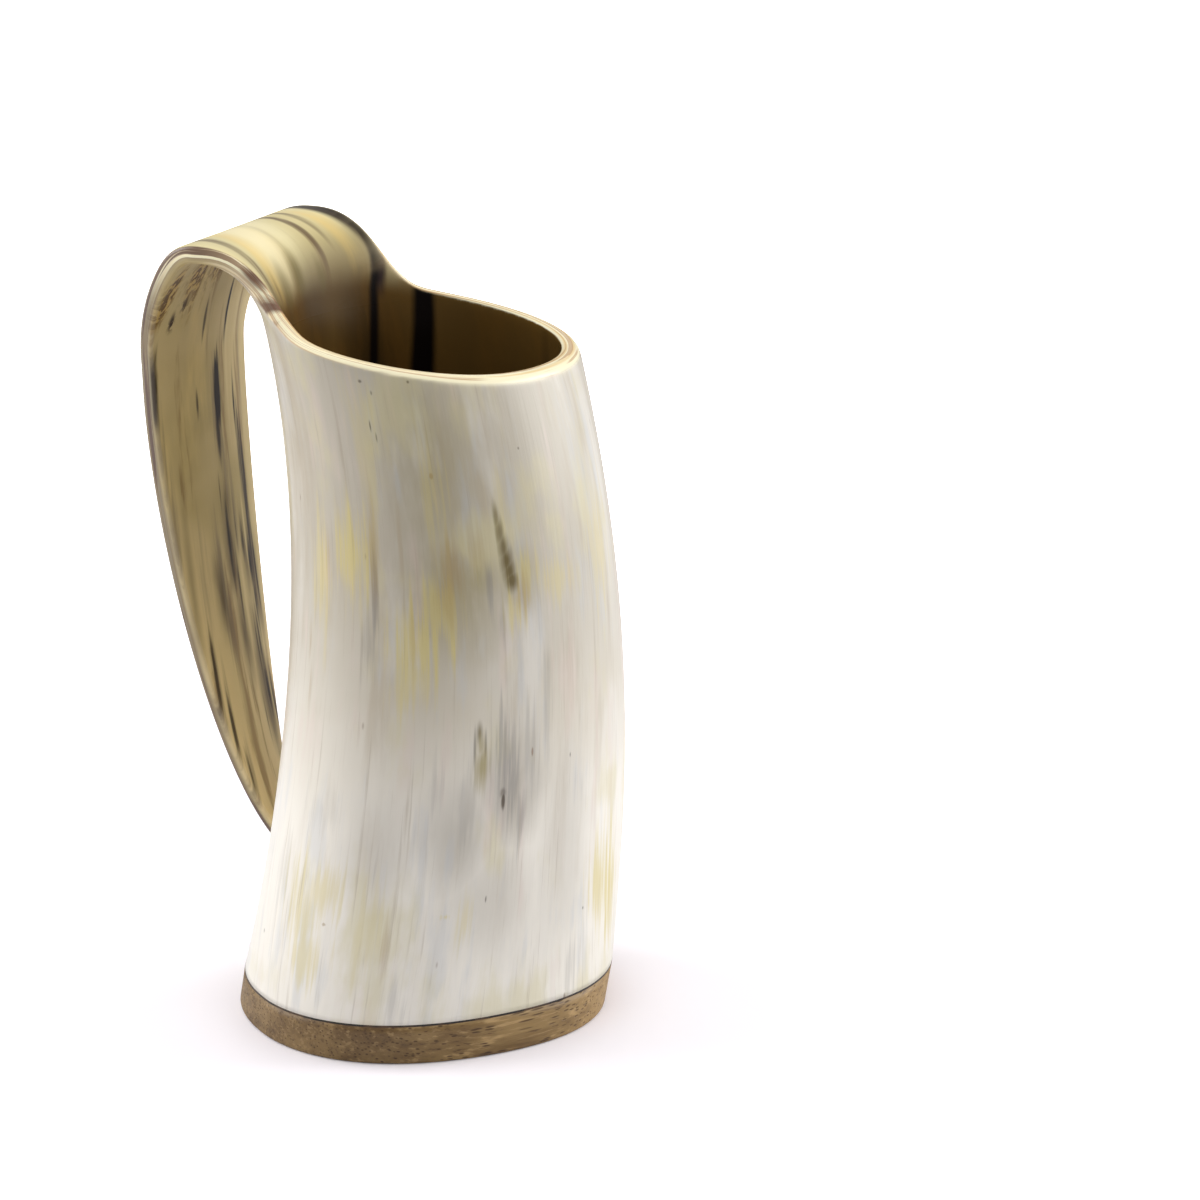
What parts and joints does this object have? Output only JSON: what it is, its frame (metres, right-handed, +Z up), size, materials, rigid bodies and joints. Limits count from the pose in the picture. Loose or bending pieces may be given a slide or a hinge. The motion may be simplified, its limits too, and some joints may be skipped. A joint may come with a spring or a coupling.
{
  "type": "horn drinking cup",
  "caption": "Oval drinking mug made of one horn, with a handle bent out of its own wall over a hump and down to a pointed tip, on a flush wooden foot.",
  "frame": {"origin": "centre of the wooden foot's oval, on the surface that the cup stands on", "axes": "+Z up, -X towards the handle, Y across the handle"},
  "size_m": [0.1072, 0.0976, 0.1851],
  "materials": {
    "horn": "polished ivory horn, satin outside and glossy inside, with fine streaks along its length",
    "wood": "oiled brown hardwood with open pores",
    "glue": "dark brown adhesive",
    "seal": "clear amber food-safe coat, glossy"
  },
  "bodies": {
    "root": {"horn_body": "horn", "wood_base": "wood", "glue_seam": "glue", "floor_seal": "seal"}
  },
  "joints": []
}
